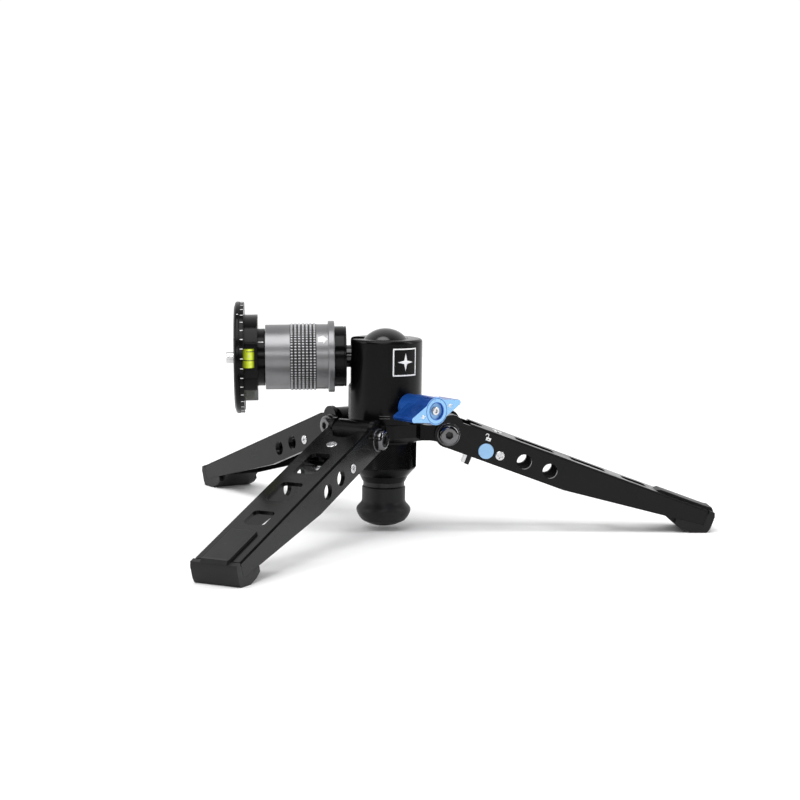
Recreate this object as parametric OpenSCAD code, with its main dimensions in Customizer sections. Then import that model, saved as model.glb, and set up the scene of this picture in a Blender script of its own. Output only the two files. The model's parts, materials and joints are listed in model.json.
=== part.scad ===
// Table-top tripod base with a ball head, a quick-release coupler and a levelled panning plate.
// The origin lies on the floor under the column's axis. +Z is up, and the head lies along -X,
// in the side notch of the ball housing.

/* [Column] */
// Height of the ball's centre above the joint of the housing and the leg hub
housing_h = 36.9; // [36:0.1:50]
// Radius of the ball
ball_r = 15.5; // [13:0.1:18.6]
// Thickness of the housing's wall
housing_wall = 4.35; // [3.5:0.05:6]
// Height of the housing's top rim above the ball's centre
rim_rise = 10; // [8:0.1:12]
// Radius of the stem that carries the head
stem_r = 6.2; // [5:0.1:7.5]
// Angle by which the resting head hangs below the horizontal
head_droop = 1.2; // [0:0.1:1.4]

/* [Leg hub] */
// Distance from the housing's side to each leg's pivot
pivot_out = 14.45; // [13:0.05:20]
// Height of the housing's joint above the leg pivots
joint_rise = 5.6; // [5:0.1:7]
// Azimuth of the first leg, counted from +X
leg_turn = 1.4; // [-3:0.1:3]
// Distance by which the hub's flat faces stand out from the housing
flat_out = 0.3; // [0:0.1:1]
// Radius of the steel axle in each pivot
axle_r = 3.5; // [3:0.1:4.5]

/* [Legs] */
// Angle of the open legs below the horizontal
leg_slope = 19.7; // [17:0.1:22]
// Length from the pivot to the end of the side plates
leg_len = 154; // [128:0.1:190]
// Height of the pivot line's outer end above the floor
end_rise = 3.59; // [3:0.01:5]
// Outer width of the channel
leg_w = 26.6; // [22:0.1:32]
// Thickness of the side plates
plate_t = 2.4; // [1.8:0.1:3]
// Height of the side plates above the pivot line
leg_top = 8.7; // [8:0.1:10]
// Depth of the side plates below the pivot line
leg_bottom = 7.5; // [7:0.1:9]
// Distance from the pivot to the place where the lower edge starts to taper
taper_start = 72; // [65:1:90]
// Thickness of the top web
web_t = 2.2; // [1.6:0.1:3]
// Radius of the round lightening holes
light_hole_r = 4.2; // [3:0.1:4.8]
// Radius of the lock button
button_r = 4.3; // [3.5:0.1:4.8]
// How far the lock button travels
button_travel = 1.5; // [1:0.1:2]

/* [Foot column] */
// Outer radius of the knurled clamp collar
collar_r = 17.8; // [16:0.1:19]
// Radius of the rubber foot's waist
foot_r = 12.2; // [10:0.1:13]
// Radius of the rubber foot's flare
flare_r = 15.3; // [14:0.1:17]
// Gap between the rubber foot and the floor
foot_gap = 2.2; // [1.5:0.1:6]

/* [Wing knob] */
// Azimuth of the knob's axis
knob_azimuth = -54.4; // [-60:0.1:-52]
// Height of the knob's axis above the housing's joint
knob_rise = 10.5; // [9.5:0.1:12]
// Distance from the housing's side to the knob's face
knob_out = 25.5; // [22:0.1:30]
// Length of the wings along the knob's axis
wing_depth = 16.8; // [10:0.1:20]
// Distance from the knob's axis to the wing tips
wing_reach = 17.5; // [14:0.1:18.5]
// Radius of the knob's round middle
knob_r = 7.65; // [6.5:0.05:8.5]
// Lean of the wings from the horizontal
wing_lean = 14; // [0:0.1:30]

/* [Coupler] */
// Gap between the housing and the coupler's collar
collar_gap = 1.4; // [1:0.1:7]
// Length of the black collar that stays visible
collar_len = 6.6; // [5.5:0.1:10]
// Outer radius of the black collar
coupler_r = 16.85; // [14:0.05:20.3]
// Depth of the step from the collar down to the coupler's tube
collar_step = 1.65; // [1.6:0.05:2.5]
// Thickness of the coupler's tube
tube_wall = 3.2; // [2.5:0.05:4]
// Length of the grey release sleeve
sleeve_len = 38.4; // [36:0.1:50]
// Thickness of the release sleeve round the collar
sleeve_wall = 0.8; // [0.7:0.05:2]
// Height of the sleeve's flange
flange_rise = 1.8; // [1:0.1:3]
// How far the sleeve slides to release the head
sleeve_travel = 4.5; // [3:0.1:4.8]

/* [Levelling plate] */
// Radius of the neck between the sleeve and the level base
neck_r = 15.95; // [14:0.05:18]
// Length of the neck
neck_len = 3.9; // [3:0.1:8]
// Radius of the level base's drum
drum_r = 23.85; // [23:0.05:27]
// Length of the drum
drum_len = 7.4; // [6.6:0.1:10]
// Radius of the panning plate and the scale flange
disc_r = 31.2; // [28:0.1:35]
// Thickness of the scale flange
scale_t = 2.4; // [2.2:0.1:4]
// Thickness of the panning plate
disc_t = 2.6; // [2.5:0.1:6]
// Distance from the head's axis to the flat beside the upright vial
drum_flat = 22; // [20:0.1:23]
// Radius of the bubble vials
vial_r = 3; // [2:0.1:3.2]
// Radius of the camera stud
stud_r = 3.175; // [3.175, 4.7625]
// Length of the camera stud above the pad
stud_len = 5; // [4.5:0.1:7]

/* [Hidden] */
LEGS = [0:2];

$fn = 64;
e = 0.01;            // overshoot of cutting shapes
fit = 0.05;          // radial clearance of a running fit
seat = 0.05;         // clearance of a fixed seat
clear = 0.3;         // space between pieces that move past each other

// Column
pivot_h = leg_len * sin(leg_slope) + end_rise;
joint_h = pivot_h + joint_rise;
ball_h = joint_h + housing_h;
knob_h = joint_h + knob_rise;
rim_h = ball_h + rim_rise;
rim_fillet = 1.8;
cavity_r = ball_r + 0.75;
housing_r = cavity_r + housing_wall;
knob_face = housing_r + knob_out;
plug_t = 5;
spigot_r = 11;
spigot_end = joint_h - 23.5;
notch_r = stem_r + 0.7;
seat_top = ball_h - 8.7;
seat_bottom = ball_h - ball_r - 1.6;
plunger_top = seat_bottom - 0.1;
plunger_bottom = joint_h + plug_t + 3;
plunger_cone = 7.05;
plunger_r = cavity_r - 0.2;
plunger_small_r = plunger_r - plunger_cone;
wing_tip_r = 1.7;
wing_root = 5;
shaft_r = 4;
shaft_tip_r = 1.5;
shaft_cone = 2.5;

// Leg hub
hub_t = 9.7;
hub_bevel = 2.5;
hub_half = leg_w / 2 - plate_t - clear;
lug_top = joint_h - 0.8;
lug_bottom = joint_h - hub_t;
boss_r = 10.2;
boss_low = leg_bottom - 0.3;
hub_r = housing_r + 1.5;
hub_flat = housing_r + flat_out;
pivot_r = housing_r + pivot_out;

// Legs
ear_r = leg_bottom + 0.2;
ear_hump_r = 6.6;
ear_hump_z = 4.7;
web_start = 10;
web_top = leg_top + 1;
web_step = 0.9;
web_bottom = web_top - web_t;
notch_half = 7;
notch_len = 8;
end_low = 0.8;
window_half = 6.2;
window_corner = 2.5;
light_holes = [45.5, 61];
button_u = 23;
button_z = -1.7;
lever_u = 31.35;
lever_z = -1.5;
lever_axle_r = 2.5;
tooth_end = boss_r + 0.7 - lever_u;
pin_r = 1.8;
pin_slot_r = pin_r + 1;
pin_tip_r = 1.2;
bolt_flange_r = 6.5;
bolt_head_r = 5.7;
bolt_flange_t = 0.8;
bolt_head_t = 4.8;
bolt_thread_r = 2.2;
side_screw_r = 2.65;
web_screw_u = 27;

// Foot cap
tongue_start = leg_len - 31;
tongue_half = 7.5;
tongue_rise = 1.4;
core_start = leg_len - 22.5;
cap_start = leg_len - 15.7;
cap_end = leg_len + 4.6;
pad_inner = leg_len - 5.2;
pad_outer = leg_len + 3.2;

// Windows in the top web, which share the length between two ribs
window_start = 38;
window_end = tongue_start - 5.5;
rib = 10.5;
window_sum = window_end - window_start - 2 * rib;
first_window = 0.393 * window_sum;
second_window = 0.359 * window_sum;
windows = [[window_start, window_start + first_window],
    [window_start + first_window + rib, window_start + first_window + rib + second_window],
    [window_start + first_window + second_window + 2 * rib, window_end]];

// Foot column
collar_top = lug_bottom;
collar_knurl_end = collar_top - 16.2;
collar_bend = collar_knurl_end - 4.6;
collar_bend_r = collar_r - 4.2;
collar_bottom = collar_bend - 3.1;
washer_t = 2.8;
foot_top = collar_bottom - washer_t;
foot_h = foot_top - foot_gap;
// heights on the rubber foot, above its lowest point
foot_rim = 0.14 * foot_h;
foot_flare = 0.41 * foot_h;
foot_waist = 0.64 * foot_h;
stud3_r = 4.76;

// Coupler and head, as distances from the ball's centre along -X
coupler_start = housing_r + collar_gap;
collar_end = coupler_start + collar_len;
sleeve_end = collar_end + sleeve_len;
neck_start = sleeve_end + clear;
drum_start = neck_start + neck_len;
flange_start = drum_start + drum_len;
disc_start = flange_start + scale_t + 0.1;
disc_end = disc_start + disc_t;
pad_t = 0.8;
pad_inset = 0.4;
pad_face = disc_end - pad_inset + pad_t;
stud_end = pad_face + stud_len;
stud_root = 9;
stud_root_r = stud_r - 0.5;
tube_r = coupler_r - collar_step;
tube_end = sleeve_end - 1;
socket_r = tube_r - tube_wall;
plug_r = socket_r - seat;
socket_wall = 5;
flange_len = 3.5;
bore_shoulder = collar_end + 7.9;
bore_r = coupler_r + 0.45;
sleeve_r = bore_r + sleeve_wall;
flange_r = sleeve_r + flange_rise;
balls_at = collar_end + 27.4;
lock_ball_r = 1.9;
lock_ball_count = 6;
ball_track = tube_r - lock_ball_r - 0.05;
ring_r = tube_r + 1.2;
ring_t = 1.2;
plug_start = collar_end + 9.4;
nut_space_r = 8;
nut_wall = drum_start - 11.7;
pivot_shaft_r = 3.95;
pivot_head_r = 7;
pan_washer_t = 0.6;
slip_r = disc_r - 5.2;
slip_w = 1.5;
block_half_y = 6.5;
block_wall = 0.5;
block_out = drum_r - 0.25;
block_in = block_out - 2 * (vial_r + block_wall);
lower_vial_at = (block_in + block_out) / 2;
side_vial_at = drum_flat - vial_r + 0.1;
vial_half = 5.2;
vial_x = flange_start - 2.6;
side_vial_rise = 1.4;

// Places and turns
function leg_azimuth(n) = leg_turn - 120 * n;
module on_leg(n)
    rotate([0, 0, leg_azimuth(n)])
    translate([pivot_r, 0, pivot_h])
    rotate([0, leg_slope, 0])
    children();
module on_notch()
    translate([0, 0, ball_h])
    rotate([0, -90, 0])
    children();
module on_head()
    translate([0, 0, ball_h])
    rotate([0, -90 - head_droop, 0])
    children();
module on_knob()
    rotate([0, 0, knob_azimuth])
    translate([0, 0, knob_h])
    rotate([0, 90, 0])
    children();
// A round bar across a leg, from one side distance to another; +Y in a leg is its left-hand side
module across(y0, y1, r)
    translate([0, y1, 0])
    rotate([90, 0, 0])
    cylinder(r = r, h = y1 - y0);

// Plain shapes
module rod(z0, z1, r)
    translate([0, 0, z0])
    cylinder(r = r, h = z1 - z0);
module cone(z0, z1, r0, r1)
    translate([0, 0, z0])
    cylinder(r1 = r0, r2 = r1, h = z1 - z0);
// A rectangle with four round corners, made of true arcs
module rounded_rect(x0, x1, half, r) {
    translate([x0 + r, -half])
        square([x1 - x0 - 2 * r, 2 * half]);
    translate([x0, -half + r])
        square([x1 - x0, 2 * half - 2 * r]);
    for (x = [x0 + r, x1 - r], y = [-half + r, half - r])
        translate([x, y])
        circle(r = r);
}
// A disc whose upper or lower rim is rounded off
module rounded_disc(z0, z1, r, top, bottom)
    rotate_extrude()
    difference() {
        translate([0, z0])
            square([r, z1 - z0]);
        if (top > 0)
            translate([r - top, z1 - top])
            difference() {
                square(top + e);
                circle(r = top);
            }
        if (bottom > 0)
            translate([r - bottom, z0 + bottom])
            mirror([0, 1])
            difference() {
                square(bottom + e);
                circle(r = bottom);
            }
    }
// A coil spring along +Z, swept as a closed tube with flat ends
module coil(r, wire, height, turns, steps = 16) {
    sides = 8;
    rings = ceil(turns * steps);
    pitch = height - 2 * wire;
    points = [for (i = [0:rings], k = [0:sides - 1])
        let (a = 360 * turns * i / rings, b = 360 * k / sides, q = r + wire * cos(b))
        [q * cos(a), q * sin(a), wire + pitch * i / rings + wire * sin(b)]];
    side_faces = [for (i = [0:rings - 1], k = [0:sides - 1])
        let (m = (k + 1) % sides)
        [i * sides + k, i * sides + m, (i + 1) * sides + m, (i + 1) * sides + k]];
    start_face = [for (k = [sides - 1:-1:0]) k];
    end_face = [for (k = [0:sides - 1]) rings * sides + k];
    polyhedron(points = points, faces = concat(side_faces, [start_face], [end_face]));
}

// Column
module housing()
    color([0.09, 0.09, 0.1])
    difference() {
        rounded_disc(joint_h, rim_h, housing_r, rim_fillet, 0);
        rod(joint_h - e, ball_h, cavity_r);
        translate([0, 0, ball_h])
            sphere(r = ball_r + fit);
        cone(rim_h - 0.8, rim_h + e, ball_opening() - 0.1, ball_opening() + 0.9);
        // notch that lets the stem lie down
        on_notch()
            rod(0, housing_r + 1, notch_r);
        translate([-housing_r - 1, -notch_r, ball_h])
            cube([housing_r + 1, 2 * notch_r, rim_rise + 1]);
        // flat round face that clears the coupler's collar
        on_notch()
            rod(coupler_start - 2.6, housing_r + 3, coupler_r + 0.5);
        on_knob()
            rod(cavity_r - 4, housing_r + 1, shaft_r + fit);
    }
function ball_opening() = sqrt(pow(ball_r, 2) - pow(rim_rise, 2));

module base_plug()
    color([0.12, 0.12, 0.13])
    difference() {
        union() {
            rod(joint_h, joint_h + plug_t, cavity_r - seat);
            rod(spigot_end, joint_h + e, spigot_r);
        }
        rod(spigot_end - e, spigot_end + 8, stud3_r);
        for (a = [0, 180])
            rotate([0, 0, a])
            translate([cavity_r - 4.5, 0, 0])
            rod(joint_h + plug_t - 2.5, joint_h + plug_t + e, 1.6);
    }

module ball_seat()
    color([0.85, 0.83, 0.75])
    difference() {
        rod(seat_bottom, seat_top, cavity_r - seat);
        translate([0, 0, ball_h])
            sphere(r = ball_r + fit);
        rod(seat_bottom - e, seat_top, 4);
    }

module seat_plunger()
    color([0.7, 0.7, 0.72])
    difference() {
        union() {
            rod(plunger_bottom + plunger_cone, plunger_top, plunger_r);
            cone(plunger_bottom, plunger_bottom + plunger_cone, plunger_small_r, plunger_r);
        }
        rod(plunger_bottom - e, plunger_top + e, 3);
    }

module seat_spring()
    color([0.75, 0.75, 0.77])
    translate([0, 0, joint_h + plug_t])
    coil(6, 0.35, plunger_bottom - joint_h - plug_t, 2);

// Leg hub
// Plan of the hub's ring: a circle with three long flats between the legs
module hub_plan()
    intersection() {
        circle(r = hub_r);
        rotate(leg_turn)
            circle(r = 2 * hub_flat, $fn = 3);
    }
module lug_plan() {
    // side view of one lug, drawn with its length along X and its height along Y
    polygon([[spigot_r + 3, lug_bottom + 0.2], [pivot_r - 10, lug_bottom + 0.2],
        [pivot_r - 0.9 * boss_low, pivot_h - 0.62 * boss_low],
        [pivot_r - 0.55 * boss_low, pivot_h - 0.8 * boss_low], [pivot_r, pivot_h - 0.8 * boss_low],
        [pivot_r, lug_top], [hub_r + 1, lug_top], [hub_r - 3, joint_h - 0.2],
        [spigot_r + 3, joint_h - 0.2]]);
    translate([pivot_r, pivot_h]) {
        circle(r = boss_low);
        intersection() {
            circle(r = boss_r);
            translate([-boss_r - 1, 0])
                square(2 * boss_r + 2);
        }
    }
}
module leg_hub()
    color([0.1, 0.1, 0.11])
    difference() {
        union() {
            difference() {
                translate([0, 0, lug_bottom])
                    linear_extrude(hub_t)
                    hub_plan();
                // bevel along the lower edge of each flat
                for (n = LEGS)
                    rotate([0, 0, leg_azimuth(n) + 60])
                    translate([hub_flat, 0, lug_bottom])
                    rotate([0, 45, 0])
                    cube([hub_bevel * sqrt(2), 60, hub_bevel * sqrt(2)], center = true);
            }
            for (n = LEGS)
                rotate([0, 0, leg_azimuth(n)])
                rotate([90, 0, 0])
                linear_extrude(2 * hub_half, center = true)
                lug_plan();
        }
        rod(lug_bottom - 10, joint_h + 10, spigot_r + seat);
        for (n = LEGS)
            rotate([0, 0, leg_azimuth(n)])
            translate([pivot_r, 0, pivot_h])
            across(-hub_half - 1, hub_half + 1, axle_r + fit);
    }

// Foot column
module foot_collar()
    color([0.1, 0.1, 0.11])
    difference() {
        union() {
            rod(collar_knurl_end, collar_top - clear, collar_r);
            cone(collar_bend, collar_knurl_end + e, collar_bend_r, collar_r);
            cone(collar_bottom, collar_bend + e, foot_r - 0.1, collar_bend_r);
        }
        rod(spigot_end - 1, collar_top + e, spigot_r + fit);
        rod(collar_bottom - e, spigot_end, stud3_r + seat);
    }
module foot_washer()
    color([0.2, 0.2, 0.22])
    difference() {
        rounded_disc(foot_top, collar_bottom, foot_r - 0.6, 0.3, 0.3);
        rod(foot_top - e, collar_bottom + e, stud3_r + seat);
    }
module foot_stud()
    color([0.7, 0.7, 0.72])
    rod(foot_gap + 6.5, spigot_end - 0.6, stud3_r);
module rubber_foot()
    color([0.07, 0.07, 0.07])
    difference() {
        rotate_extrude()
            polygon(concat(
                [[0, foot_gap]],
                [for (t = [0:0.125:1]) [3.5 + (flare_r - 6.5) * t,
                    foot_gap + foot_rim * pow(t, 1.6)]],
                [for (t = [0:0.125:1]) [flare_r - 3 + 3 * sin(90 * t),
                    foot_gap + foot_rim + (foot_flare - foot_rim) * t]],
                [for (t = [0.1:0.1:1]) [foot_r + (flare_r - foot_r) * (0.5 + 0.5 * cos(180 * t)),
                    foot_gap + foot_flare + (foot_waist - foot_flare) * t]],
                [[foot_r, foot_top - 0.6], [foot_r - 0.6, foot_top], [0, foot_top]]));
        rod(foot_gap + 6, foot_top + e, stud3_r + seat);
    }

// Wing knob
module wing_outline() {
    reach = wing_reach - wing_tip_r;
    circle(r = knob_r);
    for (side = [0, 180])
        rotate(side) {
            translate([reach, 0])
                circle(r = wing_tip_r);
            polygon([[0, -wing_root], [knob_r - 2, -wing_root], [reach, -0.98 * wing_tip_r],
                [reach, 0.98 * wing_tip_r], [knob_r - 2, wing_root], [0, wing_root]]);
        }
}
module wing_knob()
    color([0.2, 0.45, 0.85])
    on_knob()
    difference() {
        union() {
            rod(housing_r + 0.5, knob_face - 1, knob_r - 0.4);
            translate([0, 0, knob_face - wing_depth])
                linear_extrude(wing_depth)
                rotate(90 + wing_lean)
                wing_outline();
        }
        rod(housing_r, knob_face - 5, shaft_r);
        rod(knob_face - 6, knob_face, 1.6);
        rod(knob_face - 1.6, knob_face + e, 4.6);
    }
module knob_shaft()
    color([0.7, 0.7, 0.72])
    on_knob()
    difference() {
        union() {
            cone(shaft_tip(), shaft_tip() + shaft_cone, shaft_tip_r, shaft_r);
            rod(shaft_tip() + shaft_cone, knob_face - 5, shaft_r);
        }
        rod(knob_face - 17, knob_face - 4, 1.6);
    }
// The shaft's tip stops just short of the plunger's cone
function shaft_tip() = plunger_small_r + knob_h + shaft_tip_r - plunger_bottom + 0.4;
module knob_screw()
    color([0.85, 0.85, 0.85])
    on_knob()
    difference() {
        union() {
            rod(knob_face - 14, knob_face - 1.6, 1.55);
            rounded_disc(knob_face - 1.6, knob_face - 0.3, 2.4, 0.5, 0);
        }
        translate([0, 0, knob_face - 1.1])
            cylinder(r = 1.2, h = 2, $fn = 6);
    }

// Ball, stem and coupler
module ball_stem()
    color([0.06, 0.06, 0.07]) {
        translate([0, 0, ball_h])
            sphere(r = ball_r);
        on_head()
            rod(0, collar_end + socket_wall - 1, stem_r);
    }
module coupler_socket()
    color([0.1, 0.1, 0.11])
    on_head()
    difference() {
        union() {
            rounded_disc(coupler_start, coupler_start + 1.2, coupler_r, 0.4, 0.4);
            rod(coupler_start + 1, coupler_start + 1.4, coupler_r - 0.4);
            rod(coupler_start + 1.4, collar_end + 0.4, coupler_r);
            rod(collar_end, tube_end, tube_r);
        }
        rod(coupler_start - e, collar_end + socket_wall + e, stem_r + seat);
        rod(collar_end + socket_wall, tube_end + e, socket_r);
        for (k = [1:lock_ball_count])
            rotate([0, 0, 360 * k / lock_ball_count])
            translate([0, 0, balls_at])
            rotate([0, 90, 0])
            rod(socket_r - 1, tube_r + 1, lock_ball_r + seat);
    }
module release_sleeve()
    color([0.62, 0.62, 0.63])
    on_head()
    difference() {
        union() {
            rounded_disc(collar_end, collar_end + flange_len, flange_r, 0.5, 0.5);
            rod(collar_end + 1, sleeve_end, sleeve_r);
        }
        rod(collar_end - e, bore_shoulder, bore_r);
        rod(bore_shoulder - e, sleeve_end + e, tube_r + fit);
        // groove that takes the lock balls when the sleeve is drawn back
        rod(balls_at + sleeve_travel - lock_ball_r - 0.3, balls_at + sleeve_travel + lock_ball_r + 0.9,
            tube_r + 1.4);
        rod(tube_end - ring_t - 0.1, sleeve_end + e, ring_r + 0.2);
    }
module release_spring()
    color([0.75, 0.75, 0.77])
    on_head()
    translate([0, 0, collar_end + 0.4])
    coil(tube_r + 1, 0.45, bore_shoulder - collar_end - 0.4, 3, 24);
module lock_balls()
    color([0.8, 0.8, 0.82])
    on_head()
    for (k = [1:lock_ball_count])
        rotate([0, 0, 360 * k / lock_ball_count])
        translate([ball_track, 0, balls_at])
        sphere(r = lock_ball_r);
module stop_ring()
    color([0.5, 0.5, 0.52])
    on_head()
    difference() {
        rod(tube_end - ring_t, tube_end, ring_r);
        rod(tube_end - ring_t - e, tube_end + e, tube_r);
    }
module spigot()
    color([0.11, 0.11, 0.12])
    on_head()
    difference() {
        union() {
            rounded_disc(neck_start, drum_start, neck_r, 0, 0.4);
            cone(plug_start, plug_start + 1, plug_r - 1, plug_r);
            rod(plug_start + 1, neck_start + e, plug_r);
        }
        difference() {
            rod(balls_at - lock_ball_r - 0.3, balls_at + lock_ball_r + 0.3, plug_r + 1);
            rod(balls_at - lock_ball_r - 1, balls_at + lock_ball_r + 1,
                ball_track - lock_ball_r - 0.1);
        }
        rod(plug_start - e, nut_wall, nut_space_r);
        rod(nut_wall - e, drum_start + e, pivot_shaft_r + fit);
        for (k = [0:2])
            rotate([0, 0, 120 * k + 45])
            translate([11, 0, 0])
            rod(drum_start - 3.4, drum_start + e, 1.3);
    }

// Level base with its two vials
module at_vial(turn)
    on_head()
    rotate([0, 0, turn])
    translate([0, 0, vial_x])
    children();
module block_space(grow)
    translate([block_in - grow, -block_half_y - grow, drum_start - vial_x - grow])
    cube([drum_r - block_in + 8, 2 * (block_half_y + grow), drum_len + scale_t + 2 * grow]);
module level_base()
    color([0.1, 0.1, 0.11])
    difference() {
        on_head() {
            rod(drum_start, flange_start + e, drum_r);
            rounded_disc(flange_start, flange_start + scale_t, disc_r - 0.2, 0, 0.4);
        }
        // the drum is cut away round the lower vial's block
        at_vial(180) {
            block_space(seat);
            translate([block_in - seat, -drum_r, drum_start - vial_x - 1])
                cube([drum_r, 2 * drum_r, drum_len + 1]);
        }
        // flat face with the pocket of the upright vial
        at_vial(-90) {
            translate([drum_flat, -drum_r, drum_start - vial_x - 1])
                cube([drum_r, 2 * drum_r, drum_len + 1]);
            translate([side_vial_at, side_vial_rise, 0]) {
                across(-vial_half - 0.3, vial_half + 0.3, vial_r + seat);
                translate([0, -vial_half - 0.3, -vial_r - seat])
                    cube([drum_r, 2 * vial_half + 0.6, 2 * vial_r + 2 * seat]);
            }
        }
        on_head() {
            rod(drum_start - e, disc_start + e, pivot_shaft_r + fit);
            // pocket for the slip washer
            difference() {
                rod(flange_start + scale_t - pan_washer_t + 0.2, disc_start + e, slip_r);
                rod(flange_start, disc_start + 1, slip_r - slip_w);
            }
            for (k = [0:2])
                rotate([0, 0, 120 * k + 45])
                translate([11, 0, 0]) {
                    rod(drum_start - e, disc_start, 1.6);
                    rod(disc_start - 3.5, disc_start + e, 2.9);
                }
        }
    }
module base_screws()
    color([0.7, 0.7, 0.72])
    on_head()
    for (k = [0:2])
        rotate([0, 0, 120 * k + 45])
        translate([11, 0, 0])
        difference() {
            union() {
                rod(drum_start - 3, disc_start - 2, 1.25);
                rod(disc_start - 3.5, disc_start - 0.9, 2.75);
            }
            translate([0, 0, disc_start - 2.2])
                cylinder(r = 1.4, h = 2, $fn = 6);
        }
module vial_block()
    color([0.85, 0.9, 0.92, 0.5])
    at_vial(180)
    difference() {
        translate([block_in, -block_half_y, drum_start - vial_x])
            cube([block_out - block_in, 2 * block_half_y, drum_len + scale_t]);
        translate([lower_vial_at, 0, 0])
            across(-vial_half - seat, vial_half + seat, vial_r + seat);
    }
module vial_side()
    color([0.8, 0.9, 0.1])
    at_vial(-90)
    translate([side_vial_at, side_vial_rise, 0])
    across(-vial_half, vial_half, vial_r);
module vial_lower()
    color([0.8, 0.9, 0.1])
    at_vial(180)
    translate([lower_vial_at, 0, 0])
    across(-vial_half, vial_half, vial_r);

// Panning plate
module pan_washer()
    color([0.9, 0.9, 0.88])
    on_head()
    difference() {
        rod(flange_start + scale_t - pan_washer_t + 0.22, disc_start - 0.03, slip_r - 0.2);
        rod(flange_start, disc_start, slip_r - slip_w + 0.2);
    }
module pan_pivot()
    color([0.7, 0.7, 0.72])
    on_head()
    difference() {
        union() {
            rod(nut_wall - 6, disc_start + e, pivot_shaft_r);
            rod(disc_start, disc_end, pivot_head_r);
        }
        rod(disc_end - stud_root - 1, disc_end + e, stud_root_r + seat);
    }
module pan_nut()
    color([0.6, 0.6, 0.62])
    on_head()
    difference() {
        translate([0, 0, nut_wall - 4.5])
            cylinder(r = nut_space_r - 0.8, h = 4.2, $fn = 6);
        rod(nut_wall - 5, nut_wall, pivot_shaft_r);
    }
module pan_disc()
    color([0.1, 0.1, 0.11])
    on_head()
    difference() {
        rounded_disc(disc_start, disc_end, disc_r, 1.5, 0.3);
        rod(disc_start - e, disc_end + e, pivot_head_r + seat);
        rod(disc_end - pad_inset, disc_end + e, disc_r - 2.2);
    }
module grip_pad()
    color([0.15, 0.15, 0.15])
    on_head()
    difference() {
        rounded_disc(disc_end - pad_inset, pad_face, disc_r - 2.4, 0.3, 0);
        rod(disc_start, disc_end + 1, pivot_head_r + 1);
        // shallow rings that grip the camera's base
        for (r = [12:3:disc_r - 5])
            difference() {
                rod(pad_face - 0.25, disc_end + 1, r + 0.4);
                rod(disc_end - 1, disc_end + 2, r - 0.4);
            }
    }
module camera_stud()
    color([0.75, 0.75, 0.77])
    on_head() {
        rod(disc_end - stud_root, disc_end + e, stud_root_r);
        rod(disc_end, stud_end - 0.5, stud_r);
        cone(stud_end - 0.5, stud_end, stud_r, stud_r - 0.5);
    }

// Legs
module plate_plan() {
    circle(r = ear_r);
    translate([0.2, ear_hump_z])
        circle(r = ear_hump_r);
    polygon([[0, leg_top], [0, -leg_bottom], [taper_start, -leg_bottom],
        [leg_len, end_low], [leg_len, leg_top]]);
}
module leg_channel(n)
    color([0.13, 0.13, 0.14])
    on_leg(n)
    difference() {
        union() {
            for (y = [-leg_w / 2 + plate_t, leg_w / 2])
                translate([0, y, 0])
                rotate([90, 0, 0])
                linear_extrude(plate_t)
                plate_plan();
            translate([web_start, -leg_w / 2, web_bottom])
                cube([leg_len - web_start, leg_w, leg_top - web_bottom]);
            translate([web_start, -leg_w / 2 + web_step, web_bottom])
                cube([leg_len - web_start, leg_w - 2 * web_step, web_t]);
        }
        // slot over the hub, and the windows
        translate([0, 0, web_bottom - 1])
            linear_extrude(web_t + 2) {
                translate([web_start - 1, -notch_half])
                    square([notch_len + 1 - notch_half, 2 * notch_half]);
                translate([web_start + notch_len - notch_half, 0])
                    circle(r = notch_half);
                for (w = windows)
                    rounded_rect(w[0], w[1], window_half, window_corner);
                translate([web_screw_u, 0])
                    circle(r = 2);
            }
        translate([web_screw_u, 0, 0])
            rod(web_top - 0.8, web_top + e, 3.1);
        across(-leg_w, leg_w, axle_r + seat);
        for (u = light_holes)
            translate([u, 0, 0])
            across(-leg_w, leg_w, light_hole_r);
        translate([lever_u, 0, lever_z]) {
            across(-leg_w, leg_w, lever_axle_r + seat);
            across(-leg_w, -leg_w / 2 + 0.9, side_screw_r + 0.1);
            across(leg_w / 2 - 0.9, leg_w, side_screw_r + 0.1);
        }
        // the button stands on the right-hand side, as seen from the hub
        translate([button_u, 0, button_z])
            across(-leg_w, -leg_w / 2 + plate_t + 1, button_r + 0.1);
    }
module cap_side() {
    // side view of the rubber end: floor pad, end face and underside
    polygon([[core_start, plate_low(core_start)], [core_start, web_bottom - seat],
        [leg_len + 0.6, web_bottom - seat], [leg_len + 0.6, web_top], [cap_end - 0.9, web_top],
        [cap_end, 7.5], [cap_end, 0.6], [pad_outer + 0.6, floor_z(pad_outer) + 0.7],
        [pad_outer, floor_z(pad_outer)], [pad_inner, floor_z(pad_inner)],
        [cap_start + 4, plate_low(cap_start) - 4.6], [cap_start, plate_low(cap_start) - 3.2]]);
}
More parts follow.
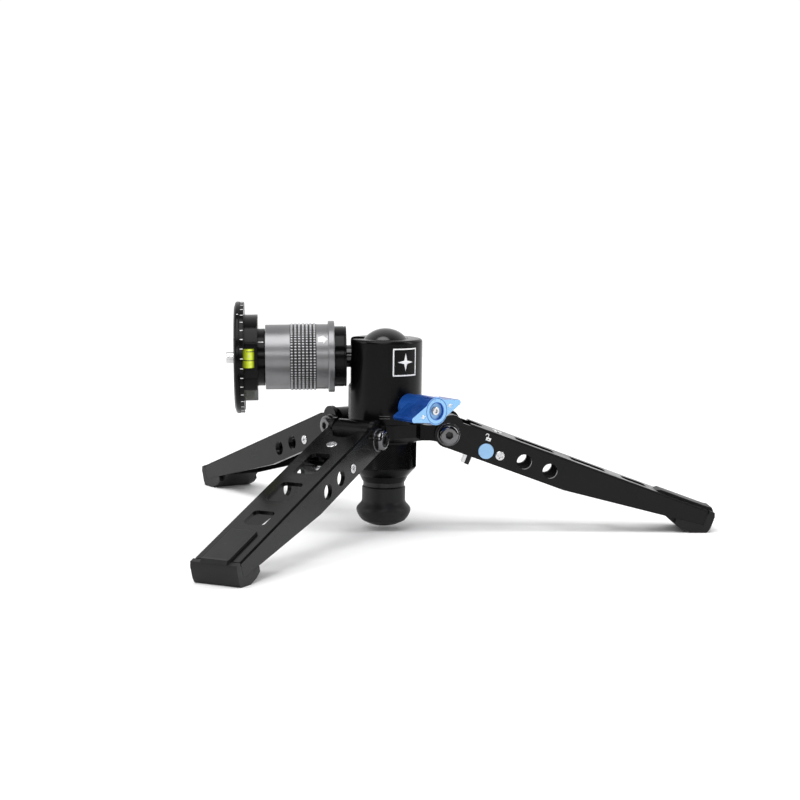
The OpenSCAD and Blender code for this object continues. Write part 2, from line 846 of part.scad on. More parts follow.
// Height of the floor and of the plates' lower edge, in a leg's own axes
function floor_z(u) = (u * sin(leg_slope) - pivot_h) / cos(leg_slope);
function plate_low(u) =
    -leg_bottom + (u - taper_start) * (leg_bottom + end_low) / (leg_len - taper_start);
module cap_tongue() {
    polygon([[tongue_start, web_top + seat], [tongue_start + 2.5, web_top + tongue_rise],
        [leg_len, web_top + tongue_rise], [cap_end - 2.2, web_top + tongue_rise + 0.4],
        [cap_end - 0.5, web_top], [leg_len + 0.6, web_top - 1], [leg_len + 0.6, web_top + seat]]);
}
module foot_cap(n)
    color([0.08, 0.08, 0.08])
    on_leg(n)
    difference() {
        union() {
            // core between the side plates
            rotate([90, 0, 0])
                linear_extrude(leg_w - 2 * plate_t - 2 * seat, center = true)
                cap_side();
            // outer part under and beyond the plates
            intersection() {
                rotate([90, 0, 0])
                    linear_extrude(leg_w, center = true)
                    cap_side();
                translate([cap_start, -leg_w, -30])
                    cube([60, 2 * leg_w, 60]);
            }
            intersection() {
                rotate([90, 0, 0])
                    linear_extrude(2 * tongue_half, center = true)
                    cap_tongue();
                linear_extrude(2 * web_top)
                    rounded_rect(tongue_start, cap_end + 10, tongue_half, 4);
            }
        }
        // the two side plates sit in the cap
        for (y = [-leg_w / 2 + plate_t + seat, leg_w / 2 + 1])
            translate([0, y, 0])
            rotate([90, 0, 0])
            linear_extrude(plate_t + 1 + seat)
            polygon([[core_start - 5, 20], [core_start - 5, plate_low(core_start - 5) - seat],
                [leg_len + 0.15, plate_low(leg_len) - seat], [leg_len + 0.15, leg_top],
                [leg_len + 0.15, 20]]);
        // sloping shoulders of the end
        for (side = [-1, 1])
            translate([leg_len + 0.1, side * leg_w / 2, 6.5])
            rotate([side * -42, 0, 0])
            translate([0, side > 0 ? 0 : -20, 0])
            cube([20, 20, 20]);
    }
module pivot_axle(n)
    color([0.7, 0.7, 0.72])
    on_leg(n)
    difference() {
        across(-leg_w / 2 + 0.1, leg_w / 2 - 0.1, axle_r);
        across(-leg_w / 2 - 1, leg_w / 2 + 1, bolt_thread_r + seat);
    }
module pivot_bolts(n)
    color([0.25, 0.25, 0.27])
    on_leg(n)
    for (side = [0, 180])
        rotate([90, 0, side])
        difference() {
            union() {
                rod(leg_w / 2 - 9, leg_w / 2 + e, bolt_thread_r);
                rounded_disc(leg_w / 2, leg_w / 2 + bolt_flange_t, bolt_flange_r, 0.3, 0);
                rounded_disc(leg_w / 2 + bolt_flange_t - e, leg_w / 2 + bolt_head_t,
                    bolt_head_r, 2, 0);
            }
            translate([0, 0, leg_w / 2 + 0.9])
                cylinder(r = 2.3, h = 4, $fn = 6);
        }
module lever_axle(n)
    color([0.7, 0.7, 0.72])
    on_leg(n)
    translate([lever_u, 0, lever_z])
    difference() {
        across(-leg_w / 2 + 1, leg_w / 2 - 1, lever_axle_r);
        across(-leg_w / 2, leg_w / 2, 1.3);
    }
module leg_screws(n)
    color([0.88, 0.88, 0.88])
    on_leg(n) {
        for (side = [0, 180])
            translate([lever_u, 0, lever_z])
            rotate([90, 0, side])
            difference() {
                union() {
                    rod(leg_w / 2 - 7, leg_w / 2 - 0.8, 1.25);
                    rounded_disc(leg_w / 2 - 0.85, leg_w / 2 + 0.5, side_screw_r, 0.5, 0);
                }
                cross_drive(leg_w / 2 - 0.4);
            }
        translate([web_screw_u, 0, 0])
            difference() {
                union() {
                    rod(web_bottom - 4, web_top - 0.7, 1.9);
                    rounded_disc(web_top - 0.75, web_top + 0.4, 3, 0.5, 0);
                }
                cross_drive(web_top - 0.3);
            }
    }
module cross_drive(z)
    for (a = [0, 90])
        rotate([0, 0, a])
        translate([-1.5, -0.35, z])
        cube([3, 0.7, 3]);
module lock_button(n)
    color([0.55, 0.77, 0.93])
    on_leg(n)
    translate([button_u, 0, button_z])
    rotate([90, 0, 0]) {
        rounded_disc(leg_w / 2 - plate_t - 2, leg_w / 2 + 1, button_r, 0.35, 0);
        rod(leg_w / 2 - plate_t - 2, leg_w / 2 - plate_t - clear, button_r + 0.9);
        rod(-4, leg_w / 2 - plate_t - 1.9, pin_r);
        rod(-8.4, -3.9, pin_tip_r);
    }
module button_spring(n)
    color([0.75, 0.75, 0.77])
    on_leg(n)
    translate([button_u, 0, button_z])
    rotate([90, 0, 0])
    translate([0, 0, -leg_w / 2 + plate_t])
    coil(1.7, 0.3, leg_w / 2 - plate_t - 4, 5, 14);
// Side view of the locking lever: its tooth stands just clear of the hub's round boss
module lever_plan()
    difference() {
        union() {
            circle(r = 4.4);
            polygon([[0, 4.4], [-10, 3.6], [-17.6, 0.6], [tooth_end, -1.2], [tooth_end, -3],
                [-17.8, -5.4], [-14.8, -4.6], [0, -4.4]]);
            // release tab that shows below the channel
            polygon([[-17.8, -4], [-18, -11.6], [-13.4, -11.6], [-12.4, -4]]);
        }
        circle(r = lever_axle_r + fit);
        translate([button_u - lever_u, button_z - lever_z])
            circle(r = pin_slot_r);
    }
module lock_lever(n)
    color([0.6, 0.6, 0.62])
    on_leg(n)
    translate([lever_u, 0, lever_z])
    rotate([90, 0, 0])
    linear_extrude(6, center = true)
    lever_plan();

housing();
base_plug();
ball_seat();
seat_plunger();
seat_spring();
leg_hub();
foot_collar();
foot_washer();
foot_stud();
rubber_foot();
wing_knob();
knob_shaft();
knob_screw();
ball_stem();
coupler_socket();
release_sleeve();
release_spring();
lock_balls();
stop_ring();
spigot();
level_base();
base_screws();
vial_block();
vial_side();
vial_lower();
pan_washer();
pan_pivot();
pan_nut();
pan_disc();
grip_pad();
camera_stud();
for (n = LEGS) {
    leg_channel(n);
    foot_cap(n);
    pivot_axle(n);
    pivot_bolts(n);
    lever_axle(n);
    leg_screws(n);
    lock_button(n);
    button_spring(n);
    lock_lever(n);
}
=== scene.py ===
"""Looks of the low folding tripod with its ball head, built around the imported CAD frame."""

import json
import math

import bmesh
import bpy
from mathutils import Matrix, Vector


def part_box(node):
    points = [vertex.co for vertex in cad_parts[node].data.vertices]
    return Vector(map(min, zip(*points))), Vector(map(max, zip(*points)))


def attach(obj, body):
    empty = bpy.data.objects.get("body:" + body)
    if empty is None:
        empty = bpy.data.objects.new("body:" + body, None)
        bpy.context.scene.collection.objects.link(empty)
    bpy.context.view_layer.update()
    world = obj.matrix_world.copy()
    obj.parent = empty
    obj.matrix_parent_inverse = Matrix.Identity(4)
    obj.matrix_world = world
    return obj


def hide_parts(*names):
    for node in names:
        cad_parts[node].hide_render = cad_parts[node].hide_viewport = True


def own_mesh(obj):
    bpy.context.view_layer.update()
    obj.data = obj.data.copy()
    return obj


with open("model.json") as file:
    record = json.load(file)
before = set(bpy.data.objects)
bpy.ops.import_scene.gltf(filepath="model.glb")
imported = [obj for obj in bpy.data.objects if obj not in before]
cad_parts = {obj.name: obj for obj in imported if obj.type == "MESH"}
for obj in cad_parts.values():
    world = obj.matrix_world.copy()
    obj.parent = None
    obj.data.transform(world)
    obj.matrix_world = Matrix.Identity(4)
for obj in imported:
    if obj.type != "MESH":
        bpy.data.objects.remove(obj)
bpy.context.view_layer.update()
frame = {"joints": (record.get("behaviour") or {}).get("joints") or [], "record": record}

MM = 0.001
JOINTS = {joint["name"]: joint for joint in frame["joints"]}
BALL = Vector(JOINTS["ball_tilt"]["pos_m"])
HEAD_OUT = Vector(JOINTS["pan_turn"]["axis"])


# ---------------------------------------------------------------- node helpers
NOISE_ROUGHNESS = 0.55


class Shader:
    """A material's node tree with a Principled shader, and short calls that add nodes to it."""

    def __init__(self, name, color, rough, metal=0.0):
        self.mat = bpy.data.materials.new(name)
        self.mat.use_nodes = True
        self.nodes = self.mat.node_tree.nodes
        self.links = self.mat.node_tree.links
        self.bsdf = self.nodes["Principled BSDF"]
        self.set("Base Color", (*color, 1.0))
        self.set("Roughness", rough)
        self.set("Metallic", metal)
        self.coord = self.add("ShaderNodeTexCoord").outputs["Object"]

    def add(self, kind):
        return self.nodes.new(kind)

    def set(self, socket, value):
        self.bsdf.inputs[socket].default_value = value

    def link(self, out, socket):
        self.links.new(out, self.bsdf.inputs[socket])

    def noise(self, scale, detail=4.0):
        tex = self.add("ShaderNodeTexNoise")
        tex.inputs["Scale"].default_value = scale
        tex.inputs["Detail"].default_value = detail
        tex.inputs["Roughness"].default_value = NOISE_ROUGHNESS
        self.links.new(self.coord, tex.inputs["Vector"])
        return tex.outputs["Fac"]

    def ramp(self, fac, stops):
        node = self.add("ShaderNodeValToRGB")
        elements = node.color_ramp.elements
        while len(elements) < len(stops):
            elements.new(0.5)
        for element, (pos, color) in zip(elements, stops):
            element.position = pos
            element.color = (*color, 1.0)
        self.links.new(fac, node.inputs["Fac"])
        return node.outputs["Color"]

    def remap(self, fac, low, high, out_low, out_high):
        node = self.add("ShaderNodeMapRange")
        for socket, value in zip(("From Min", "From Max", "To Min", "To Max"),
                                 (low, high, out_low, out_high)):
            node.inputs[socket].default_value = value
        self.links.new(fac, node.inputs["Value"])
        return node.outputs["Result"]

    def bump(self, height, distance, strength=1.0):
        node = self.add("ShaderNodeBump")
        node.inputs["Distance"].default_value = distance
        node.inputs["Strength"].default_value = strength
        self.links.new(height, node.inputs["Height"])
        self.link(node.outputs["Normal"], "Normal")


def grey(v):
    return (v, v, v * 1.03)


def worn(name, dark, light, rough, metal, grain, depth, spread=0.08, **extra):
    """A finish whose colour and roughness drift a little, over a fine grain.

    An extra value is a Principled socket's, with underscores for its spaces."""
    s = Shader(name, dark, rough, metal)
    cloud = s.noise(45.0, 3.0)
    fine = s.noise(grain, 5.0)
    s.link(s.ramp(cloud, [(0.35, dark), (0.7, light)]), "Base Color")
    s.link(s.remap(cloud, 0.3, 0.7, rough - spread, rough + spread), "Roughness")
    s.bump(fine, depth, 0.6)
    for socket, value in extra.items():
        s.set(socket.replace("_", " "), value)
    return s.mat


MATS = {
    "anodised": worn("black_anodised", grey(0.0015), grey(0.003), 0.22, 0.0, 1500.0, 0.000006,
                     Specular_IOR_Level=0.12),
    "anodised_leg": worn("leg_anodised", grey(0.002), grey(0.004), 0.22, 0.0, 1500.0, 0.000005,
                         Specular_IOR_Level=0.18),
    "ball": worn("ball_finish", grey(0.003), grey(0.005), 0.16, 0.0, 400.0, 0.000003, 0.03,
                 Specular_IOR_Level=0.5),
    "sleeve": worn("sleeve_grey", grey(0.19), grey(0.23), 0.34, 0.9, 1200.0, 0.000006, 0.02),
    # painted highlight: a lighter copy of the sleeve's grey, for the light that the grip studs'
    # tops catch
    "sleeve_stud_lit": worn("sleeve_stud_painted_highlight", grey(0.45), grey(0.52), 0.34, 0.7, 1200.0, 0.000006,
                        0.02),
    # painted shade: a near-black copy of the sleeve's grey, for the recessed band between the
    # grip studs
    "sleeve_recess_shade": worn("sleeve_recess_painted_shade", grey(0.03), grey(0.045), 0.5, 0.6, 1200.0,
                         0.000006, 0.02),
    "knob": worn("knob_blue", (0.008, 0.075, 0.38), (0.014, 0.11, 0.48), 0.27, 0.6, 1100.0,
                 0.000006),
    # painted highlight: a lighter, less metallic copy of the knob's blue, for its outer face
    "knob_face": worn("knob_face_blue", (0.24, 0.49, 0.8), (0.3, 0.56, 0.86), 0.3, 0.2, 1100.0,
                      0.000006),
    "button": worn("button_blue", (0.28, 0.5, 0.76), (0.32, 0.55, 0.8), 0.4, 0.0, 900.0,
                   0.000006),
    "steel": worn("bright_steel", (0.55, 0.55, 0.56), (0.68, 0.68, 0.69), 0.24, 1.0, 700.0,
                  0.00001),
    "black_chrome": worn("black_chrome", grey(0.12), grey(0.2), 0.18, 1.0, 500.0, 0.000004,
                         0.04),
    "rubber": worn("moulded_rubber", grey(0.005), grey(0.009), 0.45, 0.0, 1300.0, 0.00002,
                   Specular_IOR_Level=0.25),
    "plastic": worn("black_plastic", grey(0.006), grey(0.01), 0.35, 0.0, 1200.0, 0.00001,
                    Specular_IOR_Level=0.3),
    "bubble": worn("vial_bubble", (0.85, 0.95, 0.25), (0.9, 0.98, 0.4), 0.15, 0.0, 900.0,
                   0.000003),
    "acetal": worn("acetal", (0.72, 0.7, 0.64), (0.78, 0.76, 0.7), 0.4, 0.0, 600.0, 0.00001),
    "white": worn("white_ink", (0.8, 0.8, 0.8), (0.88, 0.88, 0.88), 0.5, 0.0, 900.0, 0.000005),
    "engraved": worn("engraved_grey", grey(0.06), grey(0.09), 0.5, 0.0, 900.0, 0.000005),
    # dark ink for printed marks, and also painted shade on the button pins and inside the bolt
    # sockets
    "mark": worn("dark_ink_and_painted_shade", grey(0.02), grey(0.03), 0.4, 0.0, 900.0, 0.000005),
}


def clear_material():
    s = Shader("clear_block", (0.12, 0.125, 0.13), 0.08)
    s.set("Transmission Weight", 0.6)
    s.set("IOR", 1.49)
    s.bump(s.noise(300.0, 2.0), 0.000005, 0.4)
    return s.mat


def liquid_material():
    s = Shader("vial_liquid", (0.72, 0.86, 0.06), 0.12)
    s.link(s.ramp(s.noise(120.0, 2.0), [(0.3, (0.66, 0.8, 0.02)), (0.7, (0.8, 0.9, 0.05))]),
           "Base Color")
    # Painted glow: the liquid gives off a faint light of its own, though it is no lamp.
    s.set("Emission Color", (0.7, 0.9, 0.05, 1.0))
    s.set("Emission Strength", 0.18)
    s.set("Coat Weight", 0.6)
    return s.mat


MATS["clear"] = clear_material()
MATS["liquid"] = liquid_material()

NODE_MATERIAL = {
    "housing": "anodised", "base_plug": "anodised", "ball_seat": "acetal",
    "seat_plunger": "steel", "seat_spring": "steel", "leg_hub": "anodised",
    "foot_collar": "anodised", "foot_washer": "plastic", "foot_stud": "steel",
    "rubber_foot": "rubber", "wing_knob": "knob", "knob_shaft": "steel", "knob_screw": "steel",
    "ball_stem": "ball", "coupler_socket": "anodised", "release_sleeve": "sleeve",
    "release_spring": "steel", "lock_balls": "steel", "stop_ring": "steel", "spigot": "anodised",
    "level_base": "anodised", "base_screws": "steel", "vial_block": "clear",
    "vial_side": "liquid", "vial_lower": "liquid",
    "pan_washer": "acetal", "pan_pivot": "steel", "pan_nut": "steel", "pan_disc": "anodised",
    "grip_pad": "rubber", "camera_stud": "steel",
}
LEG_MATERIAL = {
    "leg_channel": "anodised_leg", "foot_cap": "rubber", "pivot_axle": "steel",
    "pivot_bolts": "black_chrome", "lever_axle": "steel", "leg_screws": "steel",
    "lock_button": "button", "button_spring": "steel", "lock_lever": "steel",
}
for n in "123":
    for stem, look in LEG_MATERIAL.items():
        NODE_MATERIAL[stem + "_" + n] = look


def cad(node):
    return bpy.data.objects[node]


def paint(obj, look):
    obj.data.materials.clear()
    obj.data.materials.append(MATS[look])


for name, look in NODE_MATERIAL.items():
    paint(cad(name), look)


# ---------------------------------------------------------------- mesh helpers
def new_piece(name, mesh, look, body):
    obj = bpy.data.objects.new(name, mesh)
    bpy.context.scene.collection.objects.link(obj)
    paint(obj, look)
    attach(obj, body)
    return obj


def mesh_of(bm, name):
    bmesh.ops.recalc_face_normals(bm, faces=bm.faces)
    mesh = bpy.data.meshes.new(name)
    bm.to_mesh(mesh)
    bm.free()
    mesh.shade_smooth()
    return mesh


EDGE_ANGLE = 32


def soften(obj, width):
    """Breaks the sharp edges, and keeps the flat faces flat under the smooth shading."""
    bevel = obj.modifiers.new("edges", "BEVEL")
    bevel.width = width
    bevel.segments = 2
    bevel.limit_method = "ANGLE"
    bevel.angle_limit = math.radians(EDGE_ANGLE)
    bevel.use_clamp_overlap = True
    normals = obj.modifiers.new("flat_faces", "WEIGHTED_NORMAL")
    normals.mode = "FACE_AREA"
    normals.weight = 100
    normals.keep_sharp = True


def shaped(node, look, body, width):
    """A copy of a CAD node with joined faces and broken edges, which stands for the node."""
    bm = bmesh.new()
    bm.from_mesh(cad(node).data)
    bmesh.ops.remove_doubles(bm, verts=bm.verts, dist=0.002 * MM)
    bmesh.ops.dissolve_limit(bm, angle_limit=math.radians(0.4), verts=bm.verts, edges=bm.edges)
    mesh = mesh_of(bm, node + "_shape")
    for edge in mesh.edges:
        edge.use_edge_sharp = False
    piece = new_piece(node + "_shape", mesh, look, body)
    soften(piece, width)
    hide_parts(node)


def turned_to(axis):
    """The turn that brings Z onto an axis."""
    return Vector((0, 0, 1)).rotation_difference(Vector(axis)).to_matrix().to_4x4()


def head_frame(distance):
    """Axes at a place on the head's axis: X points along the head, away from the ball."""
    droop = math.asin(-HEAD_OUT.z)
    return (Matrix.Translation(BALL + HEAD_OUT * distance * MM)
            @ Matrix.Rotation(math.pi, 4, "Z") @ Matrix.Rotation(droop, 4, "Y"))


def loft(bm, rings, closed_ends=True):
    """Joins equal rings of points into a skin, with flat ends."""
    rows = [[bm.verts.new(p) for p in ring] for ring in rings]
    count = len(rows[0])
    for low, high in zip(rows, rows[1:]):
        for k in range(count):
            m = (k + 1) % count
            bm.faces.new((low[k], low[m], high[m], high[k]))
    if closed_ends:
        bm.faces.new(list(reversed(rows[0])))
        bm.faces.new(rows[-1])
    return rows


def looped_loft(bm, rings):
    """A loft whose last ring is joined to its first, such as the skin of a sleeve."""
    rows = loft(bm, rings, closed_ends=False)
    for k in range(len(rows[0])):
        m = (k + 1) % len(rows[0])
        bm.faces.new((rows[-1][k], rows[-1][m], rows[0][m], rows[0][k]))


def prism(bm, outline, z0, z1, place):
    """A straight block over an outline in XY, from z0 to z1, put in place by a matrix."""
    low = [place @ Vector((x, y, z0)) for x, y in outline]
    high = [place @ Vector((x, y, z1)) for x, y in outline]
    loft(bm, [low, high])


def rectangle(w, h, cx=0.0, cy=0.0):
    return [(cx - w / 2, cy - h / 2), (cx + w / 2, cy - h / 2),
            (cx + w / 2, cy + h / 2), (cx - w / 2, cy + h / 2)]


MARK_GRAIN = 0.7 * MM


def wrapped(bm, outline, radius, height, place):
    """A thin raised mark on a cylinder: outline is (along, around) in metres, place is its frame.

    The cylinder's axis is the frame's X, and the mark is centred on its Z."""
    part = bmesh.new()
    part.faces.new([part.verts.new((x, y, radius + height)) for x, y in outline])
    for _ in range(6):
        bmesh.ops.triangulate(part, faces=part.faces)
        long_edges = [edge for edge in part.edges if edge.calc_length() > MARK_GRAIN]
        if not long_edges:
            break
        bmesh.ops.subdivide_edges(part, edges=long_edges, cuts=1)
    bmesh.ops.triangulate(part, faces=part.faces)
    top = list(part.verts)
    made = bmesh.ops.extrude_face_region(part, geom=list(part.faces))["geom"]
    low = [v for v in made if isinstance(v, bmesh.types.BMVert)]
    for v in low:
        v.co.z = radius - 0.1 * MM
    for v in top + low:
        a = v.co.y / radius
        v.co = place @ Vector((v.co.x, v.co.z * math.sin(a), v.co.z * math.cos(a)))
    flat = bpy.data.meshes.new("mark_part")
    part.to_mesh(flat)
    part.free()
    bm.from_mesh(flat)
    bpy.data.meshes.remove(flat)


# ---------------------------------------------------------------- CAD shapes with broken edges
BODY_OF = {node: body for body, nodes in frame["record"]["behaviour"]["bodies"].items()
           for node in nodes}
EDGES = {
    "housing": 0.35, "leg_hub": 0.4, "foot_collar": 0.25, "foot_washer": 0.2,
    "wing_knob": 0.45, "knob_screw": 0.15, "coupler_socket": 0.25,
    "release_sleeve": 0.25, "spigot": 0.2, "level_base": 0.3, "vial_block": 0.3,
    "pan_disc": 0.3, "grip_pad": 0.15,
}
LEG_EDGES = {"leg_channel": 0.35, "foot_cap": 0.7, "pivot_bolts": 0.2, "leg_screws": 0.12,
             "lock_button": 0.25, "lock_lever": 0.25}
for n in "123":
    for stem, width in LEG_EDGES.items():
        EDGES[stem + "_" + n] = width
for node, width in EDGES.items():
    shaped(node, NODE_MATERIAL[node], BODY_OF[node], width * MM)


def accent(piece, look, chosen):
    """Gives the faces that a test picks another material."""
    piece.data.materials.append(MATS[look])
    for face in piece.data.polygons:
        if chosen(face.center, face.normal):
            face.material_index = 1


def accent_knob_face():
    """Painted highlight: the wing knob's outer face is given a lighter blue than its sides, for
    the light that falls on it.
    """
    outward = Vector(JOINTS["knob_turn"]["axis"])
    face_from = 44 * MM
    accent(bpy.data.objects["wing_knob_shape"], "knob_face",
           lambda centre, normal: normal.dot(outward) > 0.9
           and centre.dot(outward) > face_from)


def shade_button_pin(n):
    """Painted shade: only the button's cap is blue, and its pin inside the channel gets the dark
    ink, for the shade in the channel.
    """
    cap_foot = -10.9 * MM
    into_leg = leg_frame(n).inverted()
    accent(bpy.data.objects["lock_button_%s_shape" % n], "mark",
           lambda centre, normal: (into_leg @ centre).y > cap_foot)


def shade_bolt_socket(n):
    """Painted shade: the faces inside the hexagon sockets of the pivot bolts get the dark ink,
    for the shade in the sockets.
    """
    socket_r, head_at = 2.35 * MM, 18.0 * MM
    into_leg = leg_frame(n).inverted()

    def in_socket(centre, normal):
        p = into_leg @ centre
        return math.hypot(p.x, p.z) < socket_r and abs(p.y) < head_at

    accent(bpy.data.objects["pivot_bolts_%s_shape" % n], "mark", in_socket)


def make_lever_pad(n):
    """The black tip of the release tab, which shows under the channel."""
    bm = bmesh.new()
    outline = [(15.3 * MM, -3.15 * MM), (18.0 * MM, -3.15 * MM), (18.0 * MM, 3.15 * MM),
               (15.3 * MM, 3.15 * MM)]
    prism(bm, outline, -13.4 * MM, -6.5 * MM, leg_frame(n))
    piece = new_piece("lever_pad_" + n, mesh_of(bm, "lever_pad"), "plastic", "lever_" + n)
    soften(piece, 0.3 * MM)


# ---------------------------------------------------------------- grip studs, knurl and threads
def box_stud(bm, place, sx, sy, height, top=0.72):
    """A small pad whose top is narrower than its foot; the frame's Z points outwards."""
    low = [place @ Vector((x, y, 0)) for x, y in rectangle(sx, sy)]
    mid = [place @ Vector((x, y, height * 0.7)) for x, y in rectangle(sx, sy)]
    high = [place @ Vector((x, y, height)) for x, y in rectangle(sx * top, sy * top)]
    loft(bm, [low, mid, high])


def make_grip_studs():
    bm = bmesh.new()
    columns, pitch, first = 7, 2.11, 39.7
    around = 70
    floor_r, height = 18.05, 0.55
    for i in range(columns):
        for k in range(around):
            turn = Matrix.Rotation(2 * math.pi * k / around, 4, "X")
            place = (head_frame(first + pitch * i) @ turn
                     @ Matrix.Translation((0, 0, floor_r * MM)))
            box_stud(bm, place, 1.2 * MM, 0.85 * MM, height * MM)
    # The studs take the lighter grey: a painted highlight on them.
    new_piece("sleeve_grip_studs", mesh_of(bm, "sleeve_grip_studs"), "sleeve_stud_lit", "sleeve")
    # A dark ring laid over the recessed band between the studs: painted shade in the recess, not
    # a colour of the sleeve.
    sides, skin, inner = 96, 18.16, 18.0
    low, high = first - pitch / 2, first + pitch * (columns - 0.5)
    rows = [[head_frame(x) @ Vector((0, r * MM * math.sin(2 * math.pi * k / sides),
                                     r * MM * math.cos(2 * math.pi * k / sides)))
             for k in range(sides)]
            for x, r in ((low, inner), (low + 0.1, skin), (high - 0.1, skin), (high, inner))]
    bm = bmesh.new()
    looped_loft(bm, rows)
    new_piece("sleeve_grip_painted_shade", mesh_of(bm, "sleeve_grip_painted_shade"), "sleeve_recess_shade", "sleeve")


def make_collar_knurl():
    """Fine diamond knurl: a ring whose outer points stand high and low in turn."""
    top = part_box("foot_collar")[1][2]
    low_z, high_z = top - 15.2 * MM, top - 1.2 * MM
    inner, valley, crest = 17.6 * MM, 17.83 * MM, 18.1 * MM
    columns, rows = 168, 22
    bm = bmesh.new()
    rings = []
    for j in range(rows + 1):
        z = low_z + (high_z - low_z) * j / rows
        rings.append([])
        for i in range(columns):
            a = 2 * math.pi * i / columns
            r = crest if (i + j) % 2 == 0 else valley
            rings[-1].append(Vector((r * math.cos(a), r * math.sin(a), z)))
    edge = [[Vector((inner * math.cos(2 * math.pi * i / columns),
                     inner * math.sin(2 * math.pi * i / columns), z)) for i in range(columns)]
            for z in (low_z, high_z)]
    looped_loft(bm, [edge[0]] + rings + [edge[1]])
    mesh = mesh_of(bm, "collar_knurl")
    mesh.shade_flat()
    new_piece("collar_knurl", mesh, "anodised", "foot")


def make_thread():
    """The camera stud's screw thread, as a ridge wound along the head's axis."""
    pitch, ridge = 1.27, 0.35
    core = 3.175 - ridge
    start, end = 84.2, 88.5
    turns, steps = (end - start) / pitch, 40
    bm = bmesh.new()
    rings = []
    count = int(turns * steps)
    for i in range(count + 1):
        a = 2 * math.pi * i / steps
        x = start + (end - start) * i / count
        fade = min(1.0, i / steps, (count - i) / steps)
        profile = ((-0.5, core - 0.3), (0.0, core + (ridge - 0.02) * fade), (0.5, core - 0.3))
        rings.append([head_frame(x + dx * pitch)
                      @ Vector((0, r * MM * math.sin(a), r * MM * math.cos(a)))
                      for dx, r in profile])
    loft(bm, rings)
    new_piece("stud_thread", mesh_of(bm, "stud_thread"), "steel", "pan_plate")


# ---------------------------------------------------------------- printed and engraved marks
HOUSING_R = 20.6
# Distance of the wing knob's outer face from the column's axis, and the wings' lean in degrees
KNOB_FACE = 46.1
WING_LEAN = 14
# Turn of the sleeve's arrow and the neck's line round the head's axis, in degrees
HEAD_MARK_TURN = -53


def bar(x, y, w, h):
    return rectangle(w * MM, h * MM, x * MM, y * MM)


def column_frame(azimuth, height):
    """Axes on the column: X is down the column, and Z looks outwards at an azimuth."""
    return (Matrix.Translation((0, 0, height * MM))
            @ Matrix.Rotation(math.radians(azimuth), 4, "Z")
            @ Matrix.Rotation(math.radians(90), 4, "Y"))


def make_housing_mark():
    """A white frame around a plain four-pointed star."""
    radius = HOUSING_R * MM
    place = column_frame(-59.4, 96.2)
    side, line = 15.4, 0.75
    bm = bmesh.new()
    edge = (side - line) / 2
    for x, y, w, h in ((-edge, 0, line, side), (edge, 0, line, side),
                       (0, -edge, side, line), (0, edge, side, line)):
        wrapped(bm, bar(x, y, w, h), radius, 0.03 * MM, place)
    long_arm, waist = 5.0, 1.35
    star = []
    for k in range(8):
        a = math.pi / 4 * k
        r = (long_arm if k % 2 == 0 else waist) * MM
        star.append((r * math.cos(a), r * math.sin(a)))
    wrapped(bm, star, radius, 0.03 * MM, place)
    new_piece("housing_mark", mesh_of(bm, "housing_mark"), "white", "column")


def make_engraved_lines():
    """Two short lines low on the housing."""
    bm = bmesh.new()
    for height in (66.4, 65.0):
        wrapped(bm, bar(0, 0, 0.3, 6.0), HOUSING_R * MM, 0.02 * MM,
                column_frame(-92.4, height))
    new_piece("housing_lines", mesh_of(bm, "housing_lines"), "engraved", "column")


def ring(bm, place, inner, outer, low, high, sides=48):
    """A flat ring about the frame's Z, in millimetres."""
    rows = []
    for k in range(sides):
        a = 2 * math.pi * k / sides
        rows.append([bm.verts.new(place @ Vector((r * math.cos(a), r * math.sin(a), z)))
                     for r, z in ((inner * MM, low * MM), (outer * MM, low * MM),
                                  (outer * MM, high * MM), (inner * MM, high * MM))])
    for row, after in zip(rows, rows[1:] + rows[:1]):
        for k in range(4):
            m = (k + 1) % 4
            bm.faces.new((row[k], row[m], after[m], after[k]))


def make_knob_marks():
    """A fine ring round the knob's screw and its rim, and a plain arrow on each wing."""
    joint = JOINTS["knob_turn"]
    outward = Vector(joint["axis"])
    height = Vector(joint["pos_m"]).z
    place = (Matrix.Translation((0, 0, height)) @ turned_to(outward)
             @ Matrix.Translation((0, 0, KNOB_FACE * MM)))
    bm = bmesh.new()
    ring(bm, place, 4.6, 5.0, -0.1, 0.06)
    ring(bm, place, 6.9, 7.2, -0.1, 0.05)
    new_piece("knob_rings", mesh_of(bm, "knob_rings"), "knob", "knob")
    tangent = Vector((0, 0, 1)).cross(outward).normalized()
    lean = Matrix.Rotation(math.radians(WING_LEAN), 4, outward)
    across = (lean @ tangent).normalized()
    up = outward.cross(across).normalized()
    face = Vector((0, 0, height)) + outward * KNOB_FACE * MM
    ink = 0.05
    bm = bmesh.new()
    for side in (-1, 1):
        points = [(9.2, -1.1), (10.2, -1.1), (10.2, 0.1), (11.6, 0.1), (9.7, 1.7), (7.8, 0.1),
                  (9.2, 0.1)]
        outline = [face + across * side * x * MM + up * side * y * 0.8 * MM for x, y in points]
        loft(bm, [[p - outward * ink * MM for p in outline],
                  [p + outward * ink * MM for p in outline]])
    new_piece("knob_arrows", mesh_of(bm, "knob_arrows"), "white", "knob")


def make_sleeve_arrow():
    """White arrow that shows which way the release sleeve slides."""
    place = head_frame(35.0) @ Matrix.Rotation(math.radians(HEAD_MARK_TURN), 4, "X")
    outline = [(x * MM, y * MM) for x, y in (
        (2.7, -1.7), (2.7, 1.7), (-0.1, 1.7), (-0.1, 2.7), (-2.7, 0), (-0.1, -2.7), (-0.1, -1.7))]
    bm = bmesh.new()
    wrapped(bm, outline, 18.1 * MM, 0.04 * MM, place)
    new_piece("sleeve_arrow", mesh_of(bm, "sleeve_arrow"), "white", "sleeve")


def make_neck_line():
    """A short white line along the coupler's neck."""
    place = head_frame(69.5) @ Matrix.Rotation(math.radians(HEAD_MARK_TURN), 4, "X")
    bm = bmesh.new()
    wrapped(bm, bar(0, 0, 3.0, 0.8), 15.95 * MM, 0.04 * MM, place)
    new_piece("neck_line", mesh_of(bm, "neck_line"), "white", "ball")


